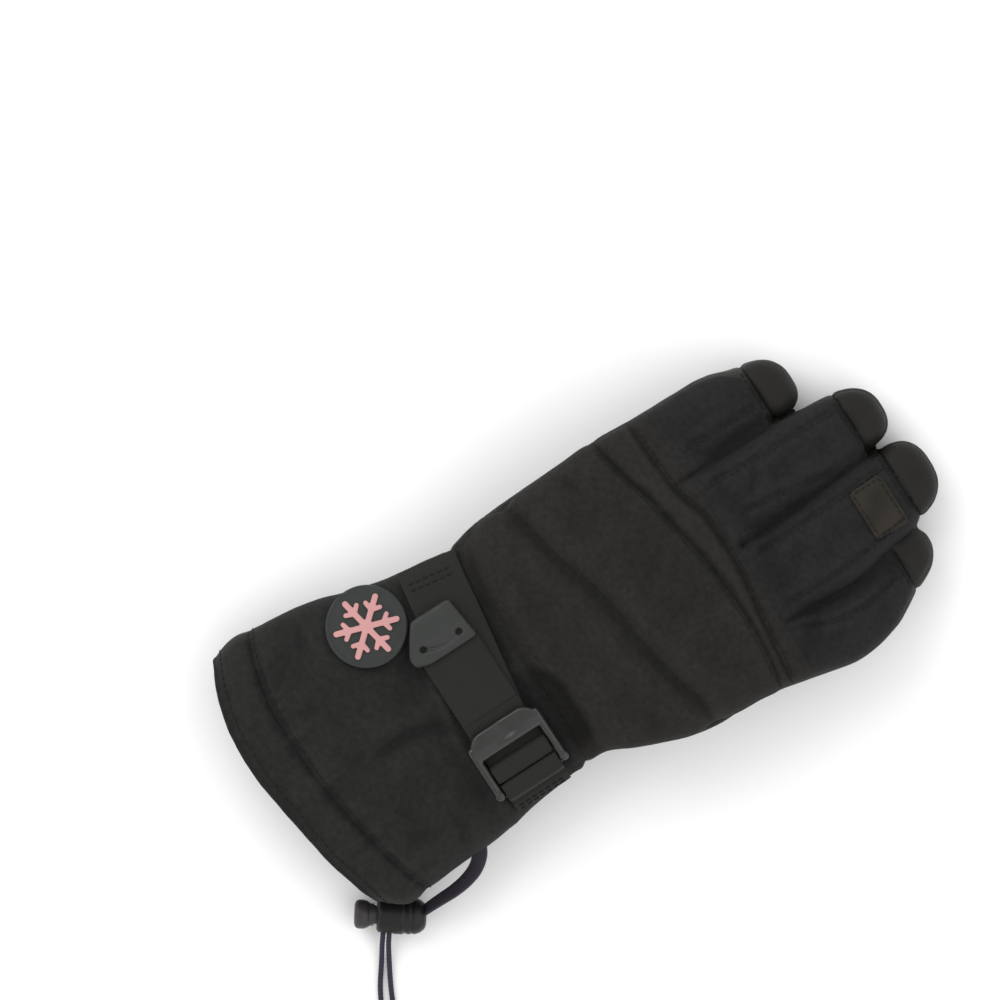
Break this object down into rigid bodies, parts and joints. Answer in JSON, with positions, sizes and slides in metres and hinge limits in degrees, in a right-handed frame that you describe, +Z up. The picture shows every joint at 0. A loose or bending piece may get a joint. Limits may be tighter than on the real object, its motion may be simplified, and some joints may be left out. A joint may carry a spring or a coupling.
{
  "type": "ski glove",
  "caption": "Padded ski glove for a left hand, lying palm down, with gauntlet cuff, buckled wrist strap, hem drawcord and cord lock.",
  "frame": {"origin": "on the surface the glove lies on, under the middle of the glove's box without its drawcord", "axes": "+Y from the hem to the fingertips, +X to the index and thumb side, +Z up from the palm to the back of the hand"},
  "size_m": [0.1957, 0.3201, 0.0605],
  "materials": {
    "cloth": "matte woven",
    "palm_leather": "matte grained",
    "cap_leather": "matte grained",
    "patch_leather": "brushed",
    "webbing": "ribbed webbing",
    "buckle_plastic": "satin",
    "badge_rubber": "matte",
    "badge_pink": "satin",
    "tape": "flat woven tape",
    "cord_lock_plastic": "satin",
    "cord": "braided"
  },
  "bodies": {
    "glove": {"hand_back": "cloth", "palm": "palm_leather", "thumb": "palm_leather", "finger_little": "cloth", "fingertip_cap_little": "cap_leather", "finger_ring": "cloth", "fingertip_cap_ring": "cap_leather", "finger_middle": "cloth", "fingertip_cap_middle": "cap_leather", "finger_index": "cloth", "fingertip_cap_index": "cap_leather", "gauntlet_cuff": "cloth", "hem_band": "cloth", "knuckle_rib": "cloth", "middle_finger_patch": "patch_leather", "wrist_strap": "webbing", "strap_pull_tab": "buckle_plastic", "ladder_lock": "buckle_plastic", "anchor_webbing": "webbing", "badge_disc": "badge_rubber", "badge_snowflake": "badge_pink", "side_tape_loop": "tape", "cord_lock_barrel": "cord_lock_plastic", "drawcord_strand_upper": "cord", "drawcord_strand_lower": "cord", "drawcord_end": "cord_lock_plastic"},
    "cord_lock_button": {"cord_lock_button": "cord_lock_plastic"}
  },
  "joints": [
    {"name": "cord_lock_press", "type": "slide", "parent": "glove", "child": "cord_lock_button", "axis": [0.5764, 0.8171, 0], "range_m": [0, 0.0025], "stiffness_N_per_m": 400, "springref_m": -0.004}
  ]
}
